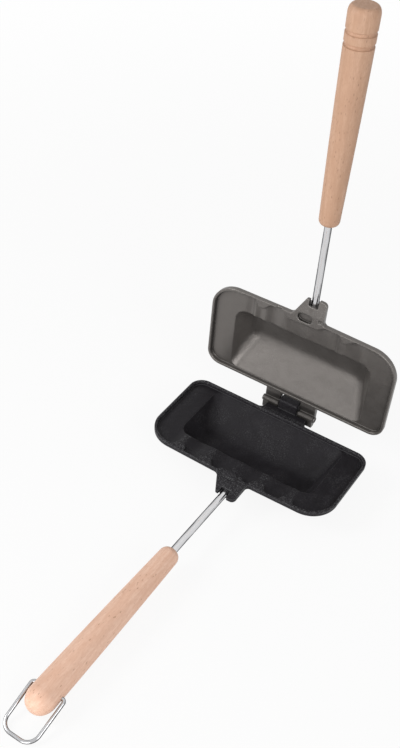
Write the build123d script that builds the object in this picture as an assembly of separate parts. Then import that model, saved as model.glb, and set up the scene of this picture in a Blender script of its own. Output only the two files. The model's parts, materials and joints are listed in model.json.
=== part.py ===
from build123d import *
import os
from math import acos, asin, cos, radians, sin, tan

# Pie iron: two hinged cast-aluminium half pans on steel rods with turned wooden grips and a wire
# lock loop.  Millimetres.  The origin is the centre of the lower pan's footprint on its flat base;
# +Z is up, +X runs along the hinge and the handles point to -Y.  The iron is drawn opened.
#
# Each half is drawn in one shared half frame: the rim plane is z = 0, the pan hangs below it, the
# handle side is -Y and the hinge side +Y.  The upper half is that frame mirrored in the rim plane
# and swung open about the hinge pin.

# ---- half pan ----
pan_width = 150.0            # along the hinge
pan_length = 76.0            # handle edge to hinge edge
pan_depth = 22.6             # rim plane to flat base
wall = 2.6                   # cast wall of the well
rim_height = 4.8             # outer edge of the rim
rim_draft = 2.0              # degrees
rim_bottom_round = 1.4
rim_top_round = 0.4
front_corner_round = 21.0    # handle-side corners of the rim
back_corner_round = 11.0     # hinge-side corners of the rim
front_bow = 1.3              # how far the handle edge falls back towards its corners
part_gap = 0.3               # between the two rims when the iron is shut
lip_width = 1.9              # flush border round the recess
lip_draft = 10.0             # degrees, inner side of the lip
lip_round = 0.3
recess_depth = 3.0           # rim plane to the sealing flange

# ---- well ----
end_lean = 10.0              # each end wall leans out this far from the floor to the flange
mouth_front = 18.6           # handle edge to the well, at flange level
mouth_back = 1.2             # lip to the well on the hinge side
mouth_round = 9.5            # handle-side corners of the well, at flange level
floor_half = 45.5            # half width of the well floor
floor_front = 26.5           # handle edge to the well floor
floor_length = 22.5          # across the well floor; the long slope takes the rest
floor_corner_round = 6.5     # handle-side corners of the floor
back_corner = 6.0            # hinge-side corners of the well, from floor to mouth
floor_round = 5.0            # floor to the walls, inside
base_round = 5.5             # base to the walls, outside

# ---- crimp band along the handle edge ----
# Places along it are in pitches from crimp_centre.  A wave point is (place, depth) with the depth
# in recess depths; a lip point is (place, inset from the edge) with the inset in lobe reaches.
crimp_end = 18.75            # side of the pan to the end of the band
crimp_pitches = 5            # across the band
crimp_centre = -1.5
crimp_fade = 0.68            # height of the waves at the well's corners, as a share of that at the edge
crimp_depth = 3.6            # rim plane to the deepest trough
lobe_reach = 6.6             # how far a flush lobe stands in from the edge
lobe_round = 1.8
lower_waves = (
    (-2.38, 1.0), (-2.0, 0.35), (-1.5, 1.15), (-0.95, 0.35), (-0.5, 1.1), (0.07, 0.45),
    (0.5, 1.1), (1.0, 0.35), (1.5, 1.15), (2.05, 0.35), (2.45, 1.0),
)
upper_waves = (
    (-2.38, 1.0), (-2.09, 0.95), (-1.87, 1.2), (-1.7, 0.53), (-1.52, 0.87), (-1.31, 0.5),
    (-1.07, 1.2), (-0.58, 0.43), (-0.37, 0.77), (0.2, 0.4), (0.44, 0.77), (0.93, 0.53),
    (1.18, 1.07), (1.35, 0.53), (1.58, 0.93), (2.09, 0.6), (2.36, 1.0),
)
lower_lip = (
    (-2.2, 0.29), (-2.1, 0.97), (-1.8, 0.97), (-1.7, 0.12), (-1.18, 0.12), (-1.12, 1.06),
    (-0.82, 1.0), (-0.66, 0.12), (-0.42, 0.12), (-0.32, 0.5), (0.42, 0.5), (0.5, 0.12),
    (0.69, 0.12), (0.8, 0.95), (1.16, 0.95), (1.29, 0.12), (1.8, 0.12), (1.88, 0.97),
    (2.16, 0.97), (2.26, 0.29),
)
upper_lip = (
    (-2.19, 0.29), (-2.13, 0.12), (-1.68, 0.12), (-1.59, 1.0), (-1.39, 1.0), (-1.15, 0.12),
    (-0.69, 0.12), (-0.51, 0.9), (0.53, 0.77), (0.8, 0.12), (1.32, 0.12), (1.41, 1.0),
    (1.55, 0.95), (1.87, 0.12), (2.31, 0.12), (2.37, 0.29),
)
vent_place = -0.86           # upper pan: shallow vent through the rim's edge
vent_width = 4.6
vent_depth = 1.7
vent_reach = 1.6

# ---- locating stud on the lower pan, socket and gate mark in the upper pan ----
stud_offset = 0.4            # its centre lies this far outside the handle edge
stud_length = 10.8
stud_width = 6.0
stud_height = 1.4            # above the rim plane
stud_round = 0.6
stud_clear = 0.5
socket_space = 0.6           # under the stud when shut
gate_radius = 1.4
gate_depth = 0.5
gate_x = 11.9
gate_offset = 2.2            # outside the handle edge

# ---- handle tab ----
tab_left_length = 16.2       # handle edge to the end of the prong on the slanted side
tab_length = 18.0            # and to the end of the longer one
tab_left = -10.7             # where its slanted side leaves the handle edge
tab_left_end = -1.9          # where that side meets the end
tab_right = 14.4
tab_root_left = 5.0          # root and end rounds
tab_root_right = 2.6
tab_round_left = 1.5
tab_round_right = 3.6
tab_drop = 2.0               # the tab's face falls by this much at its end
tab_level = 5.0              # outside the handle edge, where the fall starts
tab_reach = 8.0              # the tab's slab starts this far inside the handle edge
tab_sink = 0.6               # and its roots this far
fork_depth = 6.8             # slot in the tab's end, where the rod enters
fork_left = 0.3              # rod to the fork's slanted-side prong
fork_right = 1.9             # rod to the other prong
fork_round = 0.9

# ---- handle rods ----
rod_radius = 2.6
rod_x = 3.6                  # rod axis where it crosses rod_station
rod_drop = 5.9               # and how far that is below the rim plane
rod_station = 10.0           # outside the handle edge
handle_yaw = 1.25            # degrees, towards -X
handle_fall = 1.6            # degrees, away from the rim plane
rod_bare = 66.5              # rod_station to the grip
rod_seat = 13.5              # rod_station to the rod's inner end
rod_in_grip = 60.0
boss_radius = 5.3
boss_end = 2.5               # boss past the rod's inner end
fit_gap = 0.05               # radial, pins and rods in their bores
bore_space = 0.3             # bores past the ends of what they hold
rod_pin_radius = 1.2
rod_pin_station = 6.0        # rod_station to the cross pin
rod_pin_proud = 0.3
rod_pin_end = 0.1

# ---- grips ----
grip_length = 147.0
grip_front_radius = 7.2
grip_end_radius = 10.0
grip_swell = 0.3             # bulge of the taper at its middle
grip_front_flat = 3.4        # radius of the flat face round the rod
lower_front_round = 5.4
upper_front_round = 3.6
lower_end_flat = 1.6         # small flat on the domed end
lower_end_round = 11.0
upper_end_flat = 7.0
upper_end_round = 5.0

# ---- lock loop ----
wire_radius = 1.25
loop_station = 17.0          # lower grip's end to the loop's pivot
loop_length = 33.1           # pivot to crossbar
loop_half_root = 12.4        # half distance of the legs at the pivot
loop_half_end = 12.0
loop_root_bend = 2.2
loop_end_bend = 8.2
loop_hook = 5.0              # the hooked ends reach this close to the grip's axis
hook_space = 0.6
hook_gap = 0.08              # radial, wire in the grip's holes
table_gap = 0.2              # crossbar above the table at rest
latch_inner = 6.0            # crossbar seats on the upper grip: from over the pivot to the pan
latch_outer = 1.8            # and away from it
latch_gap = 0.12             # under the crossbar in its groove
groove_gap = 0.15            # groove section round the wire

# ---- hinge ----
hinge_back = 10.6            # hinge edge to the pin's axis
pin_radius = 1.5
pin_head_radius = 2.4
pin_head = 1.0
pin_head_round = 0.6
pin_head_gap = 0.3
lug_inner = 8.4
lug_outer = 21.2
lug_thick = 4.5
lug_root = 1.2               # a lug's arm starts this far inside the hinge edge
lug_barrel = 3.3             # how far the metal stands round the pin
lug_blend = 0.5              # arm to barrel, rim side
lug_barrel_round = 2.85      # keeps the barrel's corner clear of the bracket as it swings
lug_tail = 7.0               # stop tail, from the axis
lug_round = 1.8
lug_edge_round = 0.5
knuckle_gap = 0.7            # knuckle to lugs
knuckle_front = 3.8          # faces of the knuckle block, from the axis
knuckle_back = 5.0
knuckle_top = 7.6
knuckle_bottom = 8.4
knuckle_corner = 1.6
knuckle_round = 0.9
bracket_half = 17.0
bracket_top = 0.45           # below the rim plane
bracket_bottom = 9.5
bracket_root_round = 4.0
bracket_round = 1.2
bracket_reach = 11.0         # its rib runs this far in under the flange
rib_sink = 0.5               # its top stays this far under the flange
stop_gap = 0.3
open_angle = 90.0

# ---- worked out from the sizes above ----
half_width = pan_width / 2
front = -pan_length / 2
back = pan_length / 2
rim_clear = part_gap / 2
flange_z = -recess_depth
axis_y = back + hinge_back
bracket_back = axis_y - lug_barrel - stop_gap
yaw = radians(handle_yaw)
fall = radians(handle_fall)
handle_start = Vector(rod_x, front - rod_station, -rod_drop)
handle_side = Vector(cos(yaw), -sin(yaw), 0)
handle_out = Vector(-sin(yaw), -cos(yaw), 0)
handle_frame = Plane(
    origin=handle_start,
    x_dir=handle_side,
    z_dir=handle_out * cos(fall) - Vector(0, 0, sin(fall)),
)
pivot_station = rod_bare + grip_length - loop_station
pivot_z = -rod_drop - pivot_station * sin(fall)
floor_back = pan_length - floor_front - floor_length
crimp_pitch = (pan_width - 2 * crimp_end) / crimp_pitches
above = 12.0                 # cutting blocks reach this far over the rim plane
flange_sink = 0.9            # the well's casting starts this far under the flange, clear of the troughs


def rounded_face(*corners):
    """Closed face through (x, y, corner radius) points."""
    points = [(x, y) for x, y, radius in corners]
    radii = [radius for x, y, radius in corners]
    return make_face(FilletPolyline(*points, radius=radii, close=True))


def prism(face, low, high, taper=0.0):
    """Extrude a plan face from one height to another, narrowing by the taper angle."""
    return Pos(0, 0, low) * extrude(face, high - low, taper=taper)


def slab_along_x(face, low, high):
    """Extrude a face drawn as (y, z) between two x positions."""
    return Plane(origin=(low, 0, 0), x_dir=(0, 1, 0), z_dir=(1, 0, 0)) * extrude(face, high - low)


# ---------------------------------------------------------------- plan outlines


def front_edge(x, inset=0.0):
    """The handle edge's y at x: straight by the tab, then falling back towards the corners."""
    return front + inset + front_bow * max(0, abs(x) - tab_right) / (half_width - tab_right)


def hinge_side_corners(inset):
    """The two corners of the rim on the hinge side, right then left."""
    side = half_width - inset
    radius = back_corner_round - inset
    return (side, back - inset, radius), (-side, back - inset, radius)


def handle_side_corner(side, inset):
    """A corner of the rim on the handle side; side is -1 or 1."""
    x = side * (half_width - inset)
    return x, front_edge(x, inset), front_corner_round - inset


def rim_outline():
    """Plan of the rim alone."""
    right, left = hinge_side_corners(0)
    return rounded_face(
        left,
        handle_side_corner(-1, 0),
        (-tab_right, front, 0),
        (tab_right, front, 0),
        handle_side_corner(1, 0),
        right,
    )


def tab_outline():
    """Plan of the handle tab: a slanted side, a square side, a forked end and rounded roots."""
    left_end = front - tab_left_length
    right_end = front - tab_length
    fork_end = right_end + fork_depth
    rod_at_fork = rod_x - (tab_length - fork_depth / 2 - rod_station) * tan(yaw)
    left_prong = rod_at_fork - rod_radius - fork_left
    right_prong = rod_at_fork + rod_radius + fork_right
    left_start = tab_left - 2 * tab_root_left
    right_start = tab_right + 2 * tab_root_right
    inside = front + tab_reach
    return rounded_face(
        (left_start, inside, 0),
        (left_start, front + tab_sink, 0),
        (tab_left, front + tab_sink, tab_root_left),
        (tab_left_end, left_end, tab_round_left),
        (left_prong, left_end, fork_round / 2),
        (left_prong, fork_end, fork_round),
        (right_prong, fork_end, fork_round),
        (right_prong, right_end, fork_round / 2),
        (tab_right, right_end, tab_round_right),
        (tab_right, front + tab_sink, tab_root_right),
        (right_start, front + tab_sink, 0),
        (right_start, inside, 0),
    )


def crimp_x(place):
    """x of a place along the crimp band."""
    return crimp_centre + place * crimp_pitch


def lip_corner(place, inset):
    """Corner of the recess at a lip point."""
    x = crimp_x(place)
    return x, front_edge(x, inset * lobe_reach), lobe_round


def recess_outline(upper):
    """Inner edge of the lip; its handle side runs in and out round the flush lobes."""
    lobes = [lip_corner(*point) for point in (upper_lip if upper else lower_lip)]
    right, left = hinge_side_corners(lip_width)
    return rounded_face(
        left, handle_side_corner(-1, lip_width), *lobes, handle_side_corner(1, lip_width), right
    )


# ---------------------------------------------------------------- well


def well_plan(level, grow):
    """Plan of the well at one level, grown by a wall."""
    low = -pan_depth + wall
    share = (level - low) / (flange_z - low)
    slope = Vector(floor_back - lip_width - mouth_back, flange_z - low).normalized()
    half = floor_half + share * end_lean + grow
    start = front + floor_front + share * (mouth_front - floor_front) - grow
    end = back - floor_back + (level - low) * slope.X / slope.Y + grow / slope.Y
    radius = floor_corner_round + share * (mouth_round - floor_corner_round) + grow
    far = back_corner + grow
    face = rounded_face((-half, end, far), (-half, start, radius), (half, start, radius), (half, end, far))
    return Pos(0, 0, level) * face


def well_block(grow, bend, top):
    """The well's space grown by a wall: steep ends and front, a long slope towards the hinge."""
    low = -pan_depth + wall - grow
    block = loft([well_plan(top, grow), well_plan(low, grow)], ruled=True)
    return fillet(block.edges().group_by(Axis.Z)[0], bend)


def well_shell():
    """Casting round the well, from under the flange down, kept inside the rim's hinge edge."""
    middle = back - rim_bottom_round - pan_length
    keep = prism(Pos(0, middle) * Rectangle(2 * pan_width, 2 * pan_length), -pan_depth, 0)
    return well_block(wall, base_round, flange_z - flange_sink) & keep


def well_space():
    """What the well takes out of the casting, up past the crimp waves."""
    middle = back - lip_width - mouth_back - pan_length
    keep = prism(Pos(0, middle) * Rectangle(2 * pan_width, 2 * pan_length), -pan_depth, above)
    return well_block(0, floor_round, above) & keep


# ---------------------------------------------------------------- crimp band


def wave_section(points, fade):
    """Section through the flange's bed at one distance from the edge, with its wavy top."""
    tops = [(crimp_x(place), flange_z + fade * (depth * flange_z - flange_z)) for place, depth in points]
    crest_line = Spline(*tops, tangents=[(1, 0)] * len(tops))
    low = -pan_depth
    left = ((-pan_width, flange_z), (-pan_width, low))
    right = ((pan_width, low), (pan_width, flange_z))
    return make_face(crest_line + Polyline(tops[0], *left, *right, tops[-1]))


def flange_bed(upper):
    """All that lies under the sealing flange and the crimp waves, which run from edge to well."""
    points = upper_waves if upper else lower_waves
    inner_y = front + mouth_front + mouth_round
    edge = Plane(origin=(0, front - lip_width, 0), x_dir=(1, 0, 0), z_dir=(0, -1, 0))
    inner = Plane(origin=(0, inner_y, 0), x_dir=(1, 0, 0), z_dir=(0, -1, 0))
    bed = loft([edge * wave_section(points, 1.0), inner * wave_section(points, crimp_fade)], ruled=True)
    rest = Pos(0, inner_y + pan_length / 2) * Rectangle(2 * pan_width, pan_length)
    return bed + prism(rest, -pan_depth, flange_z)


def recess(upper):
    """Space inside the lip, over the flange and the crimp waves."""
    low = -(crimp_depth + rim_height) / 2
    return prism(recess_outline(upper), 0, low, lip_draft) - flange_bed(upper)


def vent():
    """Shallow notch through the rim's edge, seen from above as a shortened lip."""
    middle = Pos(crimp_x(vent_place), front + lip_width / 2 - vent_reach / 2)
    notch = RectangleRounded(vent_width, lip_width + vent_reach, vent_reach / 2)
    return prism(middle * notch, -vent_depth, above)


def lip_edges(pan, upper):
    """Upper edges of the lip, all round the recess."""
    outline = recess_outline(upper).face().outer_wire()
    return [edge for edge in pan.edges() if outline.distance_to(edge @ 0.5) < part_gap]


# ---------------------------------------------------------------- handle tab


def tab_slope():
    """Wedge taken off the tab's face, which falls away towards its end."""
    start = front - tab_level
    end = front - tab_length
    past = end - (start - end)
    face = rounded_face(
        (start, -rim_clear, 0), (past, -rim_clear - 2 * tab_drop, 0), (past, above, 0), (start, above, 0)
    )
    return slab_along_x(face, -pan_width, pan_width)


def rod_boss():
    """Round boss under the tab that holds the rod, with a domed inner end."""
    outer = tab_length - fork_depth - rod_station
    length = rod_seat + boss_end + outer
    boss = Pos(0, 0, outer - length / 2) * Cylinder(boss_radius, length)
    boss += Pos(0, 0, outer - length) * Sphere(boss_radius)
    return handle_frame * boss


def rod_bore():
    """Bore for the rod, open at the fork."""
    length = rod_seat + bore_space + tab_length
    bore = Cylinder(rod_radius + fit_gap, length)
    return handle_frame * Pos(0, 0, length / 2 - rod_seat - bore_space) * bore


def rod_pin_solid(radius, proud, end):
    """Upright cross pin under the boss, from its proud foot up through the rod."""
    centre = handle_start + handle_out * -rod_pin_station
    axis_z = -rod_drop + rod_pin_station * sin(fall)
    low = axis_z - boss_radius - proud
    high = axis_z + rod_radius + end
    return Pos(centre.X, centre.Y, (low + high) / 2) * Cylinder(radius, high - low)


def stud_plan(grow):
    """Plan of the locating stud, or of its socket when grown by the clearance."""
    return Pos(0, front - stud_offset) * SlotOverall(stud_length + 2 * grow, stud_width + 2 * grow)


# ---------------------------------------------------------------- hinge


def hinge_bore():
    """Bore for the hinge pin, the same in both halves."""
    return Pos(0, axis_y, 0) * Rot(0, 90, 0) * Cylinder(pin_radius + fit_gap, pan_width)


def bracket():
    """Lower half of the hinge: a rooted bracket with its knuckle block."""
    flare = bracket_half + 2 * bracket_root_round
    inside = back - rim_bottom_round
    web = rounded_face(
        (-flare, inside, 0),
        (-flare, back, 0),
        (-bracket_half, back, bracket_root_round),
        (-bracket_half, bracket_back, bracket_round),
        (bracket_half, bracket_back, bracket_round),
        (bracket_half, back, bracket_root_round),
        (flare, back, 0),
        (flare, inside, 0),
    )
    middle = back - bracket_reach / 2
    rib = Pos(0, middle) * Rectangle(2 * bracket_half, bracket_reach)
    rib += Pos(0, (middle + bracket_back) / 2) * Rectangle(2 * bracket_half, bracket_back - middle)
    rib = prism(rib, -bracket_bottom, flange_z - rib_sink)
    bottom = rib.edges().group_by(Axis.Z)[0]
    back_corners = rib.edges().filter_by(Axis.Z).group_by(Axis.Y)[-1]
    rib = fillet(bottom + back_corners, bracket_round)
    return prism(web, -rim_height + rim_bottom_round / 2, -bracket_top) + rib + knuckle() - hinge_bore()


def knuckle():
    """Block round the pin between the two lugs, rooted under the bracket's web."""
    root = bracket_back - 2 * bracket_round
    shoulder = -rim_height / 2
    section = rounded_face(
        (root, -knuckle_bottom, 0),
        (root, shoulder, 0),
        (axis_y - knuckle_front, shoulder, 0),
        (axis_y - knuckle_front, knuckle_top, knuckle_corner),
        (axis_y + knuckle_back, knuckle_top, knuckle_corner),
        (axis_y + knuckle_back, -knuckle_bottom, 2 * knuckle_corner),
    )
    half = lug_inner - knuckle_gap
    block = slab_along_x(section, -half, half)
    return fillet(block.edges().filter_by(Axis.X, reverse=True), knuckle_round)


def lug(side):
    """One upper hinge lug: arm, barrel round the pin and the tail that stops the opening."""
    arm_start = back - lug_root
    face = rounded_face(
        (arm_start, -rim_clear, 0),
        (arm_start, -lug_thick, 0),
        (axis_y + lug_barrel / 2, -lug_thick, lug_barrel),
        (axis_y + lug_tail, lug_barrel - lug_thick, lug_round),
        (axis_y + lug_tail, lug_barrel, lug_round),
        (axis_y - lug_barrel, lug_barrel, lug_barrel_round),
        (axis_y - lug_barrel, -rim_clear, lug_blend),
    )
    low, high = sorted((side * lug_inner, side * lug_outer))
    solid = slab_along_x(face, low, high)
    return fillet(solid.edges().filter_by(Axis.X, reverse=True), lug_edge_round) - hinge_bore()


def hinge_pin():
    """Rivet pin with a peened head outside each lug."""
    length = 2 * (lug_outer + pin_head_gap + pin_head)
    pin = Cylinder(pin_radius, length - pin_head)
    for side in (-1, 1):
        head = Cylinder(pin_head_radius, pin_head)
        outer = head.edges().group_by(Axis.Z)[-1 if side > 0 else 0]
        pin += Pos(0, 0, side * (length - pin_head) / 2) * fillet(outer, pin_head_round)
    return Pos(0, axis_y, 0) * Rot(0, 90, 0) * pin


# ---------------------------------------------------------------- half pans


def rounded_slab(outline, bottom_round):
    """Drafted slab from the rim's face to its underside, with rounded edges."""
    slab = prism(outline, -rim_clear, -rim_height, rim_draft)
    slab = fillet(slab.edges().group_by(Axis.Z)[0], bottom_round)
    return fillet(slab.edges().group_by(Axis.Z)[-1], rim_top_round)


def half_pan(upper):
    """One cast half: rim, crimp band, well, handle tab with its boss, and its side of the hinge."""
    pan = rounded_slab(rim_outline(), rim_bottom_round)
    pan += rounded_slab(tab_outline(), rim_top_round) - tab_slope() + rod_boss()
    pan -= recess(upper)
    pan = fillet(lip_edges(pan, upper), lip_round)
    pan += well_shell()
    pan += lug(-1) + lug(1) if upper else bracket()
    pan -= well_space()
    pan -= rod_bore()
    pan -= rod_pin_solid(rod_pin_radius + fit_gap, above, rod_pin_end + fit_gap)
    if upper:
        floor = -stud_height - part_gap - socket_space
        pan -= prism(stud_plan(stud_clear), floor, above)
        pan -= vent()
        pan -= Pos(gate_x, front - gate_offset, -rim_clear) * Cylinder(gate_radius, 2 * gate_depth)
    else:
        stud = prism(stud_plan(0), -rim_height / 2, stud_height)
        pan += fillet(stud.edges().group_by(Axis.Z)[-1], stud_round)
    return pan


# ---------------------------------------------------------------- rods, grips and loop


def rod():
    """Steel handle rod, from the boss into the grip, cross-drilled for its pin."""
    length = rod_seat + rod_bare + rod_in_grip
    bar = handle_frame * Pos(0, 0, length / 2 - rod_seat) * Cylinder(rod_radius, length)
    return bar - rod_pin_solid(rod_pin_radius + fit_gap, above, above)


def quarter(flat, side):
    """Elliptical quarter round from the rim of an end face to the side of a grip, as (r, s)."""
    pull = 0.5523
    first = (flat[0] + pull * (side[0] - flat[0]), flat[1])
    second = (side[0], side[1] + pull * (flat[1] - side[1]))
    return Bezier(flat, first, second, side)


def grip_profile(front_round, end_flat, end_round):
    """Half section of a grip, as (r, s): swelling taper, rounded front and end."""
    start = rod_bare
    end = rod_bare + grip_length
    front_side = (grip_front_radius, start + front_round)
    end_side = (grip_end_radius, end - end_round)
    middle = (
        (front_side[0] + end_side[0]) / 2 + grip_swell,
        (front_side[1] + end_side[1]) / 2,
    )
    outline = Line((0, start), (grip_front_flat, start))
    outline += quarter((grip_front_flat, start), front_side)
    outline += ThreePointArc(front_side, middle, end_side)
    outline += quarter((end_flat, end), end_side)
    outline += Polyline((end_flat, end), (0, end), (0, start))
    return make_face(outline)


def turned(profile):
    """Grip turned from its profile, bored for the rod."""
    bore_length = rod_in_grip + bore_space
    bore = Pos(0, 0, rod_bare + bore_length / 2) * Cylinder(rod_radius + fit_gap, bore_length)
    return revolve(Plane.XZ * profile, Axis.Z) - bore


def loop_angle(offset_back):
    """Angle of the loop over the outward horizontal with its crossbar over a seat, iron shut."""
    along = pivot_station * (1 - cos(2 * fall)) - offset_back + 2 * rod_drop * sin(fall)
    return fall + acos(along / loop_length)


def seat_radius(offset_back):
    """Radius of the upper grip under the seated crossbar."""
    rise = loop_length * sin(loop_angle(offset_back) - fall)
    spread = pivot_station * sin(2 * fall) + 2 * rod_drop * cos(fall)
    return rise - spread - wire_radius - latch_gap


def lower_grip():
    """Grip of the lower half, with two blind side holes for the lock loop's hooked ends."""
    grip = turned(grip_profile(lower_front_round, lower_end_flat, lower_end_round))
    length = 2 * grip_end_radius
    for side in (-1, 1):
        hole = Rot(0, 90, 0) * Cylinder(wire_radius + hook_gap, length)
        grip -= Pos(side * (loop_hook - hook_space + length / 2), 0, pivot_station) * hole
    return handle_frame * grip


def upper_grip():
    """Grip of the upper half, with a ring groove at each seat of the lock loop."""
    profile = grip_profile(upper_front_round, upper_end_flat, upper_end_round)
    for offset_back in (latch_inner, -latch_outer):
        centre = (seat_radius(offset_back) + wire_radius, pivot_station - offset_back)
        profile -= Pos(*centre) * Circle(wire_radius + groove_gap)
    return handle_frame * turned(profile)


def lock_loop():
    """Bent wire loop with hooked ends, hanging from the lower grip to just over the table."""
    table = -pan_depth + table_gap + wire_radius
    angle = asin((table - pivot_z) / loop_length)
    along = handle_out * cos(angle) + Vector(0, 0, sin(angle))
    pivot = handle_start + handle_out * pivot_station * cos(fall)
    pivot = Vector(pivot.X, pivot.Y, pivot_z)
    frame = Plane(origin=pivot, x_dir=handle_side, z_dir=handle_side.cross(along))
    path = FilletPolyline(
        (-loop_hook, 0),
        (-loop_half_root, 0),
        (-loop_half_end, loop_length),
        (loop_half_end, loop_length),
        (loop_half_root, 0),
        (loop_hook, 0),
        radius=[loop_root_bend, loop_end_bend, loop_end_bend, loop_root_bend],
    )
    section = Plane(origin=path @ 0, z_dir=path % 0) * Circle(wire_radius)
    return frame * sweep(section, path)


# ---------------------------------------------------------------- placing


def place_lower(shape):
    """Stand the half frame on the table."""
    return Pos(0, 0, pan_depth) * shape


def place_upper(shape):
    """Mirror the half frame in the rim plane and swing it open about the hinge pin."""
    shut = Pos(0, -axis_y, 0) * mirror(shape, about=Plane.XY)
    return Pos(0, axis_y, pan_depth) * Rot(-open_angle, 0, 0) * shut


def all_parts():
    """Every sub-part by node name, in place."""
    pin = rod_pin_solid(rod_pin_radius, rod_pin_proud, rod_pin_end)
    return {
        "lower_pan": place_lower(half_pan(upper=False)),
        "lower_rod": place_lower(rod()),
        "lower_rod_pin": place_lower(pin),
        "lower_grip": place_lower(lower_grip()),
        "lock_loop": place_lower(lock_loop()),
        "hinge_pin": place_lower(hinge_pin()),
        "upper_pan": place_upper(half_pan(upper=True)),
        "upper_rod": place_upper(rod()),
        "upper_rod_pin": place_upper(pin),
        "upper_grip": place_upper(upper_grip()),
    }


if __name__ == "__main__":
    os.makedirs("parts", exist_ok=True)
    for name, shape in all_parts().items():
        export_step(shape, f"parts/{name}.step")
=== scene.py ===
import json
import logging
import math
from dataclasses import dataclass
from enum import Enum

import bpy
from mathutils import Matrix, Vector

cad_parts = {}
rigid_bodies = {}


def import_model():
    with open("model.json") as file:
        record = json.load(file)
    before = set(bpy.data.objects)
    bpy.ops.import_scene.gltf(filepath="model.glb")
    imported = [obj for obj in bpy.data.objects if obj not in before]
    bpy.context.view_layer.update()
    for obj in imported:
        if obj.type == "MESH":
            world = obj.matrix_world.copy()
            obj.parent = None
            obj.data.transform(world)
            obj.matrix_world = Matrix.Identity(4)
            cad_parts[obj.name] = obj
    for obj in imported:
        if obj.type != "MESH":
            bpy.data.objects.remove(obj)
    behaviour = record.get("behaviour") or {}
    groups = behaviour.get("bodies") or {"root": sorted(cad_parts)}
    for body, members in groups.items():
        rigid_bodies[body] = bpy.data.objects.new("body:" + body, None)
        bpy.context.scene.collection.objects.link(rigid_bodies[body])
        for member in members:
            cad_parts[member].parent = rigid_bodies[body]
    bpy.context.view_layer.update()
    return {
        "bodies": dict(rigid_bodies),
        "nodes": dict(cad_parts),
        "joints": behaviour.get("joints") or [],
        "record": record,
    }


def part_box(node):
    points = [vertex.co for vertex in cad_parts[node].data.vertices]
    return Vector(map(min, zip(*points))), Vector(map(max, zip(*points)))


log = logging.getLogger("pie_iron")

Colour = tuple[float, float, float]
Point = tuple[float, float, float]
Pair = tuple[float, float]
Range = tuple[float, float]
Socket = bpy.types.NodeSocket
Value = Socket | float | tuple[float, ...]


@dataclass(frozen=True)
class Pattern:
    """A noise pattern.

    Attributes:
        scale: Features per metre.
        along: How closely they follow one another along the frame's Z, as a share of across it.
        detail: Octaves.
        roughness: How much the fine octaves count.
    """

    scale: float
    along: float = 1.0
    detail: float = 2.0
    roughness: float = 0.5


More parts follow.
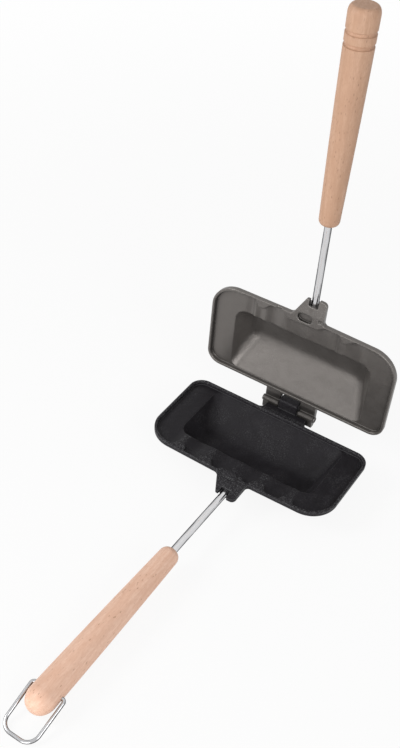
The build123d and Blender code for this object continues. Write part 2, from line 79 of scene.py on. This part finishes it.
class ShaderBench:
    """A small workbench that builds one node material around a Principled shader."""

    CORNER_SAMPLES = 8
    BEVEL_SAMPLES = 12
    EDGE_TURN: Range = (0.75, 0.985)

    def __init__(self, name: str) -> None:
        """Starts an empty material with its shader and output.

        Args:
            name: The material's name.
        """
        self.material = bpy.data.materials.new(name)
        self.material.use_nodes = True
        self.tree = self.material.node_tree
        self.tree.nodes.clear()
        self.shader = self.add("ShaderNodeBsdfPrincipled")
        self.output = self.add("ShaderNodeOutputMaterial")
        self.link(self.shader.outputs["BSDF"], self.output.inputs["Surface"])

    def add(self, kind: str, **settings: object) -> bpy.types.Node:
        """Adds a node.

        Args:
            kind: The node's type name.
            settings: Properties to set on the node.

        Returns:
            The new node.
        """
        node = self.tree.nodes.new(kind)
        for key, value in settings.items():
            setattr(node, key, value)
        return node

    def link(self, source: Socket, target: Socket) -> None:
        """Joins an output to an input."""
        self.tree.links.new(source, target)

    def feed(self, target: Socket, value: Value) -> None:
        """Gives an input a linked output or a constant.

        Args:
            target: The input socket.
            value: A socket to link, or a number or vector to set.
        """
        if isinstance(value, Socket):
            self.link(value, target)
        else:
            target.default_value = value

    def set(self, **values: Value) -> None:
        """Sets inputs of the Principled shader.

        Args:
            values: A socket or constant for each input, named with underscores for spaces.
        """
        for name, value in values.items():
            self.feed(self.shader.inputs[name.replace("_", " ")], value)

    def combine(self, operation: str, first: Value, second: Value = 0.0) -> Socket:
        """Adds a Math node.

        Args:
            operation: The Math node's operation.
            first: A socket or number.
            second: A socket or number.

        Returns:
            The result socket.
        """
        node = self.add("ShaderNodeMath", operation=operation)
        self.feed(node.inputs[0], first)
        self.feed(node.inputs[1], second)
        return node.outputs[0]

    def spread(self, value: Socket, span: Range, start: Value, end: Value) -> Socket:
        """Maps a range of values smoothly to another and clamps it.

        Args:
            value: The socket to map.
            span: The values that map to start and to end.
            start: Result at the span's low end.
            end: Result at the span's high end.

        Returns:
            The mapped socket.
        """
        node = self.add("ShaderNodeMapRange", interpolation_type="SMOOTHSTEP")
        for socket, item in zip(node.inputs, (value, *span, start, end)):
            self.feed(socket, item)
        return node.outputs["Result"]

    def tint(self, amount: Value, first: Socket | Colour, second: Socket | Colour) -> Socket:
        """Mixes two colours.

        Args:
            amount: How much of the second colour.
            first: A colour socket or value.
            second: A colour socket or value.

        Returns:
            The mixed colour socket.
        """
        node = self.add("ShaderNodeMix", data_type="RGBA")
        self.feed(node.inputs["Factor"], amount)
        self.feed(node.inputs["A"], (*first, 1.0) if isinstance(first, tuple) else first)
        self.feed(node.inputs["B"], (*second, 1.0) if isinstance(second, tuple) else second)
        return next(socket for socket in node.outputs if socket.type == "RGBA")

    def local(self, frame: Matrix, stretch: Point = (1.0, 1.0, 1.0)) -> Socket:
        """Object coordinates turned into a frame and stretched.

        Args:
            frame: The frame, in the object's coordinates.
            stretch: Scale of each axis of the frame.

        Returns:
            The coordinate socket.
        """
        place = self.add("ShaderNodeMapping", vector_type="TEXTURE")
        place.inputs["Location"].default_value = frame.to_translation()
        place.inputs["Rotation"].default_value = frame.to_euler()
        self.link(self.add("ShaderNodeTexCoord").outputs["Object"], place.inputs["Vector"])
        scale = self.add("ShaderNodeVectorMath", operation="MULTIPLY")
        self.link(place.outputs["Vector"], scale.inputs[0])
        scale.inputs[1].default_value = stretch
        return scale.outputs["Vector"]

    def noise(self, frame: Matrix, pattern: Pattern) -> Socket:
        """Adds a noise texture.

        Args:
            frame: The frame it runs in.
            pattern: Its scale and character.

        Returns:
            The grey value socket.
        """
        node = self.add("ShaderNodeTexNoise")
        self.link(self.local(frame, (1.0, 1.0, pattern.along)), node.inputs["Vector"])
        node.inputs["Scale"].default_value = pattern.scale
        node.inputs["Detail"].default_value = pattern.detail
        node.inputs["Roughness"].default_value = pattern.roughness
        return node.outputs["Fac"]

    def cells(self, frame: Matrix, pattern: Pattern) -> Socket:
        """Adds a pattern of scattered cells.

        Args:
            frame: The frame it runs in.
            pattern: Its scale and its squeeze along the frame.

        Returns:
            The socket of the distance to the nearest cell's middle.
        """
        node = self.add("ShaderNodeTexVoronoi")
        self.link(self.local(frame, (1.0, 1.0, pattern.along)), node.inputs["Vector"])
        node.inputs["Scale"].default_value = pattern.scale
        return node.outputs["Distance"]

    def relief(self, height: Socket, depth: float, below: Socket | None = None) -> Socket:
        """Adds a bump.

        Args:
            height: The height pattern, 0 to 1.
            depth: Its real depth in metres.
            below: The normal of a coarser bump under it, if any.

        Returns:
            The bumped normal socket.
        """
        node = self.add("ShaderNodeBump")
        node.inputs["Distance"].default_value = depth
        self.link(height, node.inputs["Height"])
        if below is not None:
            self.link(below, node.inputs["Normal"])
        return node.outputs["Normal"]

    def length(self, vector: Socket) -> Socket:
        """Adds the length of a vector.

        Args:
            vector: The vector socket.

        Returns:
            The length socket.
        """
        node = self.add("ShaderNodeVectorMath", operation="LENGTH")
        self.link(vector, node.inputs[0])
        return node.outputs["Value"]

    def facing(self, way: Vector) -> Socket:
        """How much the surface faces a way, in the object's coordinates.

        Args:
            way: The direction.

        Returns:
            A socket from -1 to 1.
        """
        turn = self.add("ShaderNodeVectorMath", operation="DOT_PRODUCT")
        self.link(self.add("ShaderNodeTexCoord").outputs["Normal"], turn.inputs[0])
        turn.inputs[1].default_value = way.normalized()
        return turn.outputs["Value"]

    def far_from_axis(self, centre: Point, span: Range) -> Socket:
        """Adds a mask that grows with the distance from a line along X.

        Args:
            centre: A point on the line.
            span: Distances where the mask is 0 and 1, in metres.

        Returns:
            The mask socket.
        """
        place = self.local(Matrix.Translation(centre), (0.0, 1.0, 1.0))
        return self.spread(self.length(place), span, 0.0, 1.0)

    def openness(self, reach: float) -> Socket:
        """Adds a mask that falls off in corners and under lips.

        Args:
            reach: How far it looks, in metres.

        Returns:
            The mask socket, 1 in the open.
        """
        node = self.add("ShaderNodeAmbientOcclusion", samples=self.CORNER_SAMPLES)
        node.inputs["Distance"].default_value = reach
        return node.outputs["AO"]

    def soft_edges(self, radius: Value) -> Socket:
        """Adds a normal that rounds sharp edges.

        Args:
            radius: The edge radius, in metres.

        Returns:
            The normal socket.
        """
        node = self.add("ShaderNodeBevel", samples=self.BEVEL_SAMPLES)
        self.feed(node.inputs["Radius"], radius)
        return node.outputs["Normal"]

    def edges(self, width: float) -> Socket:
        """Adds a mask of the places where the surface turns sharply.

        Args:
            width: How wide the mask is, in metres.

        Returns:
            The mask socket, 1 on an edge.
        """
        turn = self.add("ShaderNodeVectorMath", operation="DOT_PRODUCT")
        self.link(self.soft_edges(width), turn.inputs[0])
        self.link(self.add("ShaderNodeNewGeometry").outputs["Normal"], turn.inputs[1])
        return self.spread(turn.outputs["Value"], self.EDGE_TURN, 1.0, 0.0)

    def depth(self, frame: Matrix) -> Socket:
        """How far a point lies along a frame's Z, in metres.

        Args:
            frame: The frame, in the object's coordinates.

        Returns:
            The distance socket.
        """
        split = self.add("ShaderNodeSeparateXYZ")
        self.link(self.local(frame), split.inputs["Vector"])
        return split.outputs["Z"]


@dataclass(frozen=True)
class CastCoating:
    """Sprayed non-stick coating over a cast pan: grain, painted shade, and worn edges and specks
    that are partly painted highlights.

    Attributes:
        colour, light, bare_and_highlight: The coating, its paler specks, and what shows where it
            is worn, also used as painted highlight.
        gloss_change: How far the roughness strays to each side.
        contact_glint: Share of worn specks and painted glints on the faces that meet when the
            iron is shut.
        glint: Share of worn specks and painted glints elsewhere.
        hinge_shade, corner_shade, foot_shade: Painted shade by the hinge, in corners and under
            edges.
        edge_wear_and_highlight: How far the edges are worn and painted lighter as a highlight.
        corner_reach, foot_reach: How far the two kinds of painted shade reach, in metres.
        edge_round, well_round: Softness of the edges at the rim and inside the well, in metres.
        well_depth: Depths between which the one turns into the other.
        contact_depth: Depths between which the worn specks and painted glints end.
    """

    name: str
    colour: Colour
    light: Colour
    bare_and_highlight: Colour
    metallic: float
    roughness: float
    gloss_change: float
    reflect: float
    contact_glint: float
    glint: float
    hinge_shade: float
    edge_wear_and_highlight: float
    corner_reach: float
    corner_shade: float
    foot_shade: float
    shade_tone: float = 0.3
    foot_reach: float = 0.0035
    wear_and_highlight_width: float = 0.0009
    edge_round: float = 0.0012
    well_round: float = 0.01
    hinge: Point = (0.0, 0.0486, 0.0226)
    hinge_clear: Range = (0.0065, 0.0095)
    well_depth: Range = (0.0048, 0.0095)
    contact_depth: Range = (0.0012, 0.0022)
    cloud: Pattern = Pattern(1 / 0.006, detail=3.0, roughness=0.6)
    cloud_span: Range = (0.3, 0.7)
    cloud_share: float = 0.2
    cloud_depth: float = 0.00012
    gloss_span: Range = (0.3, 0.72)
    grain: Pattern = Pattern(1 / 0.0009, detail=3.0, roughness=0.65)
    grain_depth: float = 0.00006
    speck: Pattern = Pattern(3.4 / 0.0009, detail=1.0)
    speck_span: Range = (0.62, 0.8)
    speck_share: float = 0.6
    corner_span: Range = (0.25, 0.95)
    foot_span: Range = (0.35, 0.9)
    patch: Pattern = Pattern(70.0)
    patch_span: Range = (0.4, 0.7)
    patch_least: float = 0.2
    spark: Pattern = Pattern(1500.0, roughness=0.8)
    spark_span: Range = (0.48, 0.7)

    def sprayed(self, bench: ShaderBench, frame: Matrix, cloud: Socket) -> Socket:
        """The clean coating's colour, worn along its edges and painted lighter there as a
        highlight.

        Args:
            bench: The material's bench.
            frame: The patterns' frame.
            cloud: The coating's broad pattern.

        Returns:
            The colour socket.
        """
        broad = bench.spread(cloud, self.cloud_span, 0.0, self.cloud_share)
        colour = bench.tint(broad, self.colour, self.light)
        speck = bench.noise(frame, self.speck)
        speck = bench.spread(speck, self.speck_span, 0.0, self.speck_share)
        colour = bench.tint(speck, colour, self.light)
        # Edges painted lighter, partly as wear and partly as a painted highlight.
        worn_and_highlit = bench.combine("MULTIPLY", bench.edges(self.wear_and_highlight_width), self.edge_wear_and_highlight)
        return bench.tint(worn_and_highlit, colour, self.bare_and_highlight)

    def with_painted_shade(self, bench: ShaderBench, colour: Socket, clear: Socket) -> Socket:
        """The colour with painted shade in corners, under edges and by the hinge.

        Args:
            bench: The material's bench.
            colour: The clean colour.
            clear: Mask that is 0 at the hinge.

        Returns:
            The colour socket.
        """
        # Painted shade: a darker copy of the coating in corners, under edges and by the hinge.
        shade = tuple(self.shade_tone * channel for channel in self.colour)
        corner = bench.openness(self.corner_reach)
        corner = bench.spread(corner, self.corner_span, self.corner_shade, 0.0)
        colour = bench.tint(corner, colour, shade)
        foot = bench.openness(self.foot_reach)
        foot = bench.spread(foot, self.foot_span, self.foot_shade, 0.0)
        colour = bench.tint(foot, colour, shade)
        kept = bench.spread(clear, (0.0, 1.0), 1.0 - self.hinge_shade, 1.0)
        return bench.tint(kept, shade, colour)

    def sparks(self, bench: ShaderBench, frame: Matrix, depth: Socket, clear: Socket) -> Socket:
        """Mask of the worn specks and painted glints, most of them on the faces that meet.

        Args:
            bench: The material's bench.
            frame: The patterns' frame.
            depth: Depth under the rim plane.
            clear: Mask that is 0 at the hinge.

        Returns:
            The mask socket.
        """
        patch = bench.noise(frame, self.patch)
        glint = bench.spread(patch, self.patch_span, self.patch_least * self.glint, self.glint)
        contact = bench.spread(depth, self.contact_depth, self.contact_glint, 0.0)
        glint = bench.combine("MAXIMUM", glint, bench.combine("MULTIPLY", contact, clear))
        return bench.spread(bench.noise(frame, self.spark), self.spark_span, 0.0, glint)

    def make(self, tilt: float) -> bpy.types.Material:
        """Builds the material for one pan.

        Args:
            tilt: Turn about X that points Z into the pan's well.

        Returns:
            The finished material.
        """
        bench = ShaderBench(self.name)
        frame = Matrix.Identity(4)
        cloud = bench.noise(frame, self.cloud)
        clear = bench.far_from_axis(self.hinge, self.hinge_clear)
        depth = bench.depth(Matrix.Translation(self.hinge) @ Matrix.Rotation(tilt, 4, "X"))
        colour = self.with_painted_shade(bench, self.sprayed(bench, frame, cloud), clear)
        sparks = self.sparks(bench, frame, depth, clear)
        low, high = self.roughness - self.gloss_change, self.roughness + self.gloss_change
        radius = bench.spread(depth, self.well_depth, self.edge_round, self.well_round)
        coarse = bench.relief(cloud, self.cloud_depth, bench.soft_edges(radius))
        bench.set(
            # Worn specks and painted glints lighten the coating.
            Base_Color=bench.tint(sparks, colour, self.bare_and_highlight),
            Metallic=self.metallic,
            Roughness=bench.spread(cloud, self.gloss_span, low, high),
            Specular_IOR_Level=self.reflect,
            Normal=bench.relief(bench.noise(frame, self.grain), self.grain_depth, coarse),
        )
        return bench.material


@dataclass(frozen=True)
class TurnedBeech:
    """Steamed beech turned on a lathe: soft growth bands, fine fibres and dark ray flecks.

    Attributes:
        pale, band, fleck: The wood between the bands, the bands and the flecks.
        seed: Moves the grip to another place in the tree, in metres.
        heart: The tree's heart from the grip's axis, in metres.
        lean: How far the tree leans to the grip, in radians.
        ring_width: One growth ring, in metres.
        ring_drift: How far the rings wander, in radians.
    """

    name: str
    pale: Colour
    band: Colour
    fleck: Colour
    seed: float = 0.0
    heart: Pair = (0.034, -0.021)
    lean: float = 0.05
    ring_width: float = 0.0034
    ring_drift: float = 9.0
    ring_span: Range = (-0.6, 1.0)
    ring_share: float = 0.3
    wander: Pattern = Pattern(60.0, along=0.12)
    fibre: Pattern = Pattern(1500.0, along=0.06, detail=4.0, roughness=0.7)
    fibre_span: Range = (0.35, 0.68)
    fibre_share: float = 0.6
    fibre_depth: float = 0.00003
    patch: Pattern = Pattern(150.0, along=0.2)
    patch_span: Range = (0.38, 0.68)
    patch_share: float = 0.6
    mottle: Pattern = Pattern(900.0, along=0.45, roughness=0.6)
    mottle_span: Range = (0.45, 0.7)
    mottle_share: float = 0.5
    dash: Pattern = Pattern(760.0, along=0.3)
    dash_span: Range = (0.1, 0.3)
    cluster: Pattern = Pattern(300.0, along=0.3, detail=1.0)
    cluster_span: Range = (0.47, 0.6)
    cluster_share: float = 0.8
    fleck_depth: float = 0.00004
    gloss_span: Range = (0.3, 0.7)
    gloss: Range = (0.44, 0.6)
    reflect: float = 0.42

    def rings(self, bench: ShaderBench, tree: Matrix) -> Socket:
        """Mask of the growth bands.

        Args:
            bench: The material's bench.
            tree: The tree's frame, its Z along the heart.

        Returns:
            The mask socket.
        """
        from_heart = bench.length(bench.local(tree, (1.0, 1.0, 0.0)))
        turns = bench.combine("MULTIPLY", from_heart, 2 * math.pi / self.ring_width)
        drift = bench.combine("MULTIPLY", bench.noise(tree, self.wander), self.ring_drift)
        waves = bench.combine("SINE", bench.combine("ADD", turns, drift))
        return bench.spread(waves, self.ring_span, 0.0, 1.0)

    def flecks(self, bench: ShaderBench, tree: Matrix) -> Socket:
        """Mask of the ray flecks, short dashes that stand in clusters.

        Args:
            bench: The material's bench.
            tree: The tree's frame, its Z along the heart.

        Returns:
            The mask socket.
        """
        near = bench.spread(bench.cells(tree, self.dash), self.dash_span, 1.0, 0.0)
        few = bench.noise(tree, self.cluster)
        few = bench.spread(few, self.cluster_span, 0.0, self.cluster_share)
        return bench.combine("MULTIPLY", near, few)

    def make(self, frame: Matrix) -> bpy.types.Material:
        """Builds the material for one grip.

        Args:
            frame: The grip's frame, its Z along the grain.

        Returns:
            The finished material.
        """
        bench = ShaderBench(self.name)
        across, aside = self.heart
        place = Matrix.Translation((across + self.seed, aside, 0.0))
        tree = frame @ place @ Matrix.Rotation(self.lean, 4, "X")
        fibre = bench.noise(tree, self.fibre)
        rings = bench.combine("MULTIPLY", self.rings(bench, tree), self.ring_share)
        colour = bench.tint(rings, self.pale, self.band)
        for pattern, span, share in (
            (fibre, self.fibre_span, self.fibre_share),
            (bench.noise(tree, self.patch), self.patch_span, self.patch_share),
            (bench.noise(tree, self.mottle), self.mottle_span, self.mottle_share),
        ):
            colour = bench.tint(bench.spread(pattern, span, 0.0, share), colour, self.band)
        flecks = self.flecks(bench, tree)
        ridges = bench.relief(fibre, self.fibre_depth)
        bench.set(
            Base_Color=bench.tint(flecks, colour, self.fleck),
            Roughness=bench.spread(fibre, self.gloss_span, *self.gloss),
            Specular_IOR_Level=self.reflect,
            Normal=bench.relief(flecks, -self.fleck_depth, ridges),
        )
        return bench.material


@dataclass(frozen=True)
class PlatedSteel:
    """Plated steel with faint drawing lines along the wire, and a painted reflection: lighter on
    one side, darker elsewhere.

    Attributes:
        roughness: Of the plating between the lines.
        painted_dark_share: How far the wire is painted darker away from its side painted lighter
            as a reflection.
        painted_dark_tone: The colour painted there, as a share of the lighter one's.
        edge_tint: Colour of its reflections at a low angle.
    """

    name: str
    colour: Colour
    roughness: float
    painted_dark_share: float
    painted_dark_tone: float = 0.22
    edge_tint: Colour = (0.12, 0.12, 0.13)
    lines: Pattern = Pattern(3200.0, along=0.02, detail=3.0, roughness=0.6)
    line_span: Range = (0.3, 0.75)
    line_depth: float = 0.000012
    line_change: Range = (-0.05, 0.1)
    cloud: Pattern = Pattern(240.0, along=0.3)
    cloud_span: Range = (0.3, 0.7)
    cloud_change: Range = (-0.1, 0.1)
    painted_lit_span: Range = (0.4, 0.85)

    def make(self, frame: Matrix, face: Vector) -> bpy.types.Material:
        """Builds the material.

        Args:
            frame: The wire's frame, its Z along the drawing lines.
            face: Way the side painted lighter as a reflection faces.

        Returns:
            The finished material.
        """
        bench = ShaderBench(self.name)
        lines = bench.noise(frame, self.lines)
        cloud = bench.spread(bench.noise(frame, self.cloud), self.cloud_span, *self.cloud_change)
        # Painted reflection: lighter where the surface faces the given way, darker elsewhere.
        painted_lit = bench.combine("ADD", bench.combine("ABSOLUTE", bench.facing(face)), cloud)
        painted_dark = bench.spread(painted_lit, self.painted_lit_span, self.painted_dark_share, 0.0)
        painted_dark_colour = tuple(self.painted_dark_tone * channel for channel in self.colour)
        low, high = (self.roughness + change for change in self.line_change)
        bench.set(
            Base_Color=bench.tint(painted_dark, self.colour, painted_dark_colour),
            Metallic=1.0,
            Roughness=bench.spread(lines, self.line_span, low, high),
            Specular_Tint=(*self.edge_tint, 1.0),
            Normal=bench.relief(lines, self.line_depth),
        )
        return bench.material


def coat(piece: bpy.types.Object, material: bpy.types.Material) -> None:
    """Gives an object one material and reports it.

    Args:
        piece: The object to finish.
        material: Its new material.
    """
    piece.data.materials.clear()
    piece.data.materials.append(material)
    log.info("%s finished in %s", piece.name, material.name)


class Half(Enum):
    """The two halves of the iron."""

    LOWER = "lower"
    UPPER = "upper"


@dataclass(frozen=True)
class IronHalf:
    """One half of the iron: its cast pan, rod, rod pin and grip.

    Attributes:
        into_well: Turn about X that points Z into the pan's well.
        painted_lit_side: Way the side of the rod painted lighter as a reflection faces.
    """

    half: Half
    coating: CastCoating
    wood: TurnedBeech
    plating: PlatedSteel
    pin_steel: PlatedSteel
    into_well: float
    painted_lit_side: Point

    def middle(self, part: str) -> Vector:
        """Middle of one of this half's solids.

        Args:
            part: The solid's name without its half.

        Returns:
            The middle of its box.
        """
        low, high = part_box(f"{self.half.value}_{part}")
        return (low + high) / 2

    def handle_frame(self) -> Matrix:
        """Frame of the handle, worked out from its rod and grip.

        Returns:
            A frame at the grip's middle, its Z running out along the handle.
        """
        grip = self.middle("grip")
        along = (grip - self.middle("rod")).normalized()
        turn = along.to_track_quat("Z", "Y").to_matrix().to_4x4()
        return Matrix.Translation(grip) @ turn

    def dress(self, nodes: dict[str, bpy.types.Object]) -> None:
        """Gives each solid of this half its finish.

        Args:
            nodes: The frame's objects by node name.
        """
        frame = self.handle_frame()
        # The rod and rod pin get a painted reflection, lighter on one side.
        finishes = {
            "pan": self.coating.make(self.into_well),
            "rod": self.plating.make(frame, Vector(self.painted_lit_side)),
            "rod_pin": self.pin_steel.make(frame, Vector((1.0, 0.0, 0.0))),
            "grip": self.wood.make(frame),
        }
        for part, material in finishes.items():
            coat(nodes[f"{self.half.value}_{part}"], material)


@dataclass(frozen=True)
class LockHardware:
    """The wire lock loop and the hinge rivet.

    Attributes:
        loop_pivot: Where the loop's hooked ends sit in the lower grip.
    """

    plating: PlatedSteel
    rivet_steel: PlatedSteel
    loop_pivot: Point = (-0.000685, -0.2443766, 0.0112134)

    def dress(self, nodes: dict[str, bpy.types.Object]) -> None:
        """Gives the loop and the rivet their finishes.

        Args:
            nodes: The frame's objects by node name.
        """
        along_hinge = Vector((1.0, 0.0, 0.0))
        across = Matrix.Rotation(math.pi / 2, 4, "Y")
        low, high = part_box("lock_loop")
        # Painted reflection: the loop is lighter on the side facing out of its own plane, the
        # rivet towards its ends.
        loop_face = along_hinge.cross((low + high) / 2 - Vector(self.loop_pivot))
        coat(nodes["lock_loop"], self.plating.make(Matrix.Identity(4), loop_face))
        coat(nodes["hinge_pin"], self.rivet_steel.make(across, along_hinge))


@dataclass(frozen=True)
class Lamp:
    """A round soft lamp, its size in metres and its power in watts."""

    name: str
    place: Point
    size: float
    power: float


@dataclass(frozen=True)
class Studio:
    """Pale floor, white surroundings, soft lamps and the camera.

    Attributes:
        floor_glow: How far the seen floor is lifted to white round the object.
        shadow_reach: Distances between which the floor turns all white, in metres.
        sky_strength: How strongly the surroundings light the object.
        camera_right, camera_up, camera_back: The camera's axes.
    """

    floor_size: float = 8.0
    floor_colour: Colour = (0.86, 0.86, 0.86)
    floor_roughness: float = 0.9
    floor_reflect: float = 0.1
    floor_glow: float = 0.9
    shadow_reach: Range = (0.25, 1.0)
    sky_strength: float = 0.37
    camera_place: Point = (0.24035, -0.53221, 0.60195)
    camera_right: Point = (0.840623, 0.53708, 0.069989)
    camera_up: Point = (-0.418611, 0.562261, 0.713181)
    camera_back: Point = (0.343683, -0.628814, 0.697477)
    lens: float = 54.05
    shift: Pair = (0.0033, 0.0703)
    lamp_target: Point = (0.0, -0.02, 0.08)
    lamps: tuple[Lamp, ...] = (
        Lamp("key", (-1.1, -0.8, 1.0), 0.7, 9.0),
        Lamp("sheen", (-0.46, -0.55, 0.52), 0.3, 0.8),
        Lamp("front", (0.15, -1.35, 0.2), 0.8, 8.5),
        Lamp("fill", (1.15, -0.55, 0.8), 0.8, 5.5),
        Lamp("top", (0.1, 0.6, 1.5), 1.2, 0.4),
    )

    def set_view(self) -> None:
        """Keeps colours as written."""
        bpy.context.scene.view_settings.view_transform = "Standard"

    def shown_rays(self, tree: bpy.types.NodeTree) -> Socket:
        """Adds a mask of the rays that show the background.

        Args:
            tree: The node tree to add it to.

        Returns:
            A socket that is 1 for camera, glossy and transmission rays.
        """
        path = tree.nodes.new("ShaderNodeLightPath")
        mask = path.outputs["Is Camera Ray"]
        for name in ("Is Glossy Ray", "Is Transmission Ray"):
            node = tree.nodes.new("ShaderNodeMath")
            node.operation = "MAXIMUM"
            tree.links.new(mask, node.inputs[0])
            tree.links.new(path.outputs[name], node.inputs[1])
            mask = node.outputs[0]
        return mask

    def build_world(self) -> None:
        """Makes the world white where it is seen and softer where it lights."""
        world = bpy.data.worlds.new("white_surround")
        world.use_nodes = True
        tree = world.node_tree
        background = tree.nodes["Background"]
        background.inputs["Color"].default_value = (1.0, 1.0, 1.0, 1.0)
        level = tree.nodes.new("ShaderNodeMapRange")
        tree.links.new(self.shown_rays(tree), level.inputs["Value"])
        level.inputs["To Min"].default_value = self.sky_strength
        level.inputs["To Max"].default_value = 1.0
        tree.links.new(level.outputs["Result"], background.inputs["Strength"])
        bpy.context.scene.world = world

    def floor_finish(self) -> bpy.types.Material:
        """The floor's material: pale, and lifted to white where it is seen.

        Returns:
            The finished material.
        """
        bench = ShaderBench("pale_floor")
        bench.set(
            Base_Color=(*self.floor_colour, 1.0),
            Roughness=self.floor_roughness,
            Specular_IOR_Level=self.floor_reflect,
        )
        away = bench.length(bench.add("ShaderNodeTexCoord").outputs["Object"])
        fade = bench.spread(away, self.shadow_reach, self.floor_glow, 1.0)
        level = bench.combine("MULTIPLY", self.shown_rays(bench.tree), fade)
        blend = bench.add("ShaderNodeMixShader")
        bench.link(level, blend.inputs["Fac"])
        bench.link(bench.shader.outputs["BSDF"], blend.inputs[1])
        bench.link(bench.add("ShaderNodeEmission").outputs["Emission"], blend.inputs[2])
        bench.link(blend.outputs["Shader"], bench.output.inputs["Surface"])
        return bench.material

    def build_floor(self) -> None:
        """Makes the pale floor, which keeps the object's soft shadow."""
        half = self.floor_size / 2
        mesh = bpy.data.meshes.new("floor")
        corners = [(-half, -half, 0), (half, -half, 0), (half, half, 0), (-half, half, 0)]
        mesh.from_pydata(corners, [], [(0, 1, 2, 3)])
        mesh.materials.append(self.floor_finish())
        floor = bpy.data.objects.new("floor", mesh)
        bpy.context.scene.collection.objects.link(floor)

    def build_lamps(self) -> None:
        """Hangs the soft lamps, each turned to the middle of the iron."""
        for lamp in self.lamps:
            light = bpy.data.lights.new(lamp.name, "AREA")
            light.shape = "DISK"
            light.size = lamp.size
            light.energy = lamp.power
            holder = bpy.data.objects.new(lamp.name, light)
            holder.location = lamp.place
            aim = Vector(self.lamp_target) - Vector(lamp.place)
            holder.rotation_euler = aim.to_track_quat("-Z", "Y").to_euler()
            bpy.context.scene.collection.objects.link(holder)

    def build_camera(self) -> None:
        """Places the camera."""
        lens = bpy.data.cameras.new("camera")
        lens.lens = self.lens
        lens.shift_x, lens.shift_y = self.shift
        camera = bpy.data.objects.new("camera", lens)
        turn = Matrix((self.camera_right, self.camera_up, self.camera_back)).transposed()
        camera.matrix_world = Matrix.Translation(self.camera_place) @ turn.to_4x4()
        bpy.context.scene.collection.objects.link(camera)
        bpy.context.scene.camera = camera

    def build(self) -> None:
        """Builds the whole studio."""
        self.set_view()
        self.build_world()
        self.build_floor()
        self.build_lamps()
        self.build_camera()
        log.info("studio ready")


BLACK_COATING = CastCoating(
    name="black_nonstick",
    colour=(0.0135, 0.0122, 0.0142),
    light=(0.027, 0.025, 0.031),
    bare_and_highlight=(0.16, 0.16, 0.165),
    metallic=0.0,
    roughness=0.43,
    gloss_change=0.04,
    reflect=0.12,
    contact_glint=0.8,
    glint=0.3,
    hinge_shade=0.0,
    edge_wear_and_highlight=0.7,
    corner_reach=0.02,
    corner_shade=0.3,
    foot_shade=0.4,
)
GREY_COATING = CastCoating(
    name="grey_nonstick",
    colour=(0.13, 0.119, 0.111),
    light=(0.165, 0.153, 0.144),
    bare_and_highlight=(0.34, 0.325, 0.31),
    metallic=0.6,
    roughness=0.33,
    gloss_change=0.03,
    reflect=0.5,
    contact_glint=0.35,
    glint=0.0,
    hinge_shade=0.75,
    edge_wear_and_highlight=0.5,
    corner_reach=0.016,
    corner_shade=0.75,
    foot_shade=0.8,
)
PALE_BEECH = TurnedBeech(
    name="pale_beech",
    pale=(0.9, 0.615, 0.475),
    band=(0.75, 0.45, 0.315),
    fleck=(0.45, 0.24, 0.15),
)
WARM_BEECH = TurnedBeech(
    name="warm_beech",
    pale=(0.56, 0.35, 0.24),
    band=(0.45, 0.26, 0.165),
    fleck=(0.28, 0.15, 0.09),
    seed=0.013,
)
ROD_PLATING = PlatedSteel("plated_rod", colour=(0.66, 0.66, 0.67), roughness=0.16, painted_dark_share=0.9)
WIRE_PLATING = PlatedSteel("plated_wire", colour=(0.5, 0.5, 0.51), roughness=0.14, painted_dark_share=0.95)
PIN_STEEL = PlatedSteel("pin_steel", colour=(0.2, 0.19, 0.185), roughness=0.42, painted_dark_share=0.4)


def main(nodes: dict[str, bpy.types.Object]) -> None:
    """Dresses the pie iron and builds the studio.

    Args:
        nodes: The frame's objects by node name.
    """
    lower = IronHalf(
        Half.LOWER,
        BLACK_COATING,
        PALE_BEECH,
        ROD_PLATING,
        PIN_STEEL,
        into_well=math.pi,
        painted_lit_side=(0.45, 0.0, 0.89),
    )
    upper = IronHalf(
        Half.UPPER,
        GREY_COATING,
        WARM_BEECH,
        ROD_PLATING,
        PIN_STEEL,
        into_well=-math.pi / 2,
        painted_lit_side=(0.25, -0.97, 0.0),
    )
    for assembly in (lower, upper, LockHardware(WIRE_PLATING, PIN_STEEL)):
        assembly.dress(nodes)
    Studio().build()


if __name__ == "__main__":
    logging.basicConfig(level=logging.INFO)
    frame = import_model()
    main(frame["nodes"])
